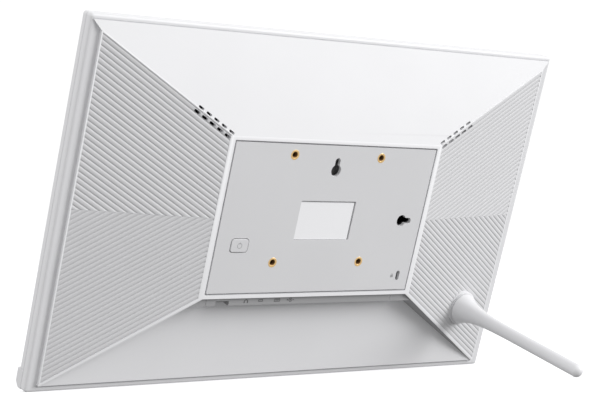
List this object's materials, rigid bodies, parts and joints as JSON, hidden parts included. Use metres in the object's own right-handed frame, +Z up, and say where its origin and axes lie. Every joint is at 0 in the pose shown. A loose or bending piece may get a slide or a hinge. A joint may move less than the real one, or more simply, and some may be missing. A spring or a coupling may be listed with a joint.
{
  "type": "digital photo frame",
  "caption": "Wide digital photo frame with a ribbed pyramid back, grey mount panel, scooped socket bay and a screw-in rod leg that leans it back.",
  "frame": {"origin": "on the standing surface, under the middle of the bounding box", "axes": "+Z up from the surface, +X to the right of someone looking at the screen, +Y from the screen to the back; the frame leans back on its leg by 19.4 degrees"},
  "size_m": [0.3946, 0.156, 0.2337],
  "materials": {
    "white_plastic": "fine satin moulded white",
    "foot_plastic": "satin light grey-white",
    "panel_grey": "fine matt texture, light grey",
    "soft_white": "soft matt",
    "front_glass": "polished",
    "mat_card": "fine paper tooth",
    "screen_black": "satin black",
    "light_film": "satin",
    "tray_aluminium": "rolled sheet",
    "brass": "machined, bright",
    "steel": "stamped, zinc plated",
    "black_plastic": "matt",
    "board_green": "solder mask",
    "label_film": "matt film",
    "speaker_foam": "closed cell foam"
  },
  "bodies": {
    "frame_body": {"front_bezel": "white_plastic", "middle_frame": "white_plastic", "rear_cover": "white_plastic", "socket_panel": "white_plastic", "corner_foot_right": "foot_plastic", "corner_foot_left": "foot_plastic", "mount_panel": "panel_grey", "cover_glass": "front_glass", "mat_board": "mat_card", "lcd_cell": "screen_black", "diffuser_sheet": "light_film", "light_guide": "light_film", "lcd_tray": "tray_aluminium", "shield_can": "tray_aluminium", "vesa_insert_1": "brass", "vesa_insert_2": "brass", "vesa_insert_3": "brass", "vesa_insert_4": "brass", "leg_socket": "brass", "board_spacer_1": "brass", "board_spacer_2": "brass", "board_spacer_3": "brass", "board_spacer_4": "brass", "keyhole_plate_top": "steel", "keyhole_plate_side": "steel", "lock_plate": "steel", "board_screw_1": "steel", "board_screw_2": "steel", "board_screw_3": "steel", "board_screw_4": "steel", "card_slot": "steel", "usb_c_port": "steel", "usb_a_port": "steel", "wifi_module": "steel", "led_strip": "black_plastic", "switch_body": "black_plastic", "audio_jack": "black_plastic", "power_jack": "black_plastic", "speaker_right": "black_plastic", "speaker_left": "black_plastic", "wifi_antenna": "black_plastic", "main_board": "board_green", "lcd_driver_board": "board_green", "label_plate": "label_film", "lcd_ribbon": "label_film", "speaker_gasket_right": "speaker_foam", "speaker_gasket_left": "speaker_foam"},
    "power_button": {"power_button": "panel_grey"},
    "switch_plunger": {"switch_plunger": "soft_white"},
    "leg_carrier": {"leg_washer": "soft_white"},
    "leg": {"stand_leg": "white_plastic", "leg_stud": "steel"}
  },
  "joints": [
    {"name": "power_press", "type": "slide", "parent": "frame_body", "child": "power_button", "axis": [0, -0.9433, 0.3318], "range_m": [0, 0.0006], "stiffness_N_per_m": 1200, "springref_m": -0.0004},
    {"name": "plunger_press", "type": "slide", "parent": "frame_body", "child": "switch_plunger", "axis": [0, -0.9433, 0.3318], "range_m": [0, 0.00061]},
    {"name": "leg_out", "type": "slide", "parent": "frame_body", "child": "leg_carrier", "axis": [0, 0.9433, -0.3318], "range_m": [0, 0.008]},
    {"name": "leg_turn", "type": "hinge", "parent": "leg_carrier", "child": "leg", "pos_m": [-0.1575, -0.039, 0.04419], "axis": [0, 0.9433, -0.3318], "range_deg": [0, 2899]}
  ],
  "couplings": [
    {"joint": "plunger_press", "follows": "power_press", "ratio": 1},
    {"joint": "leg_turn", "follows": "leg_out", "rad_per_m": 6283.2}
  ]
}
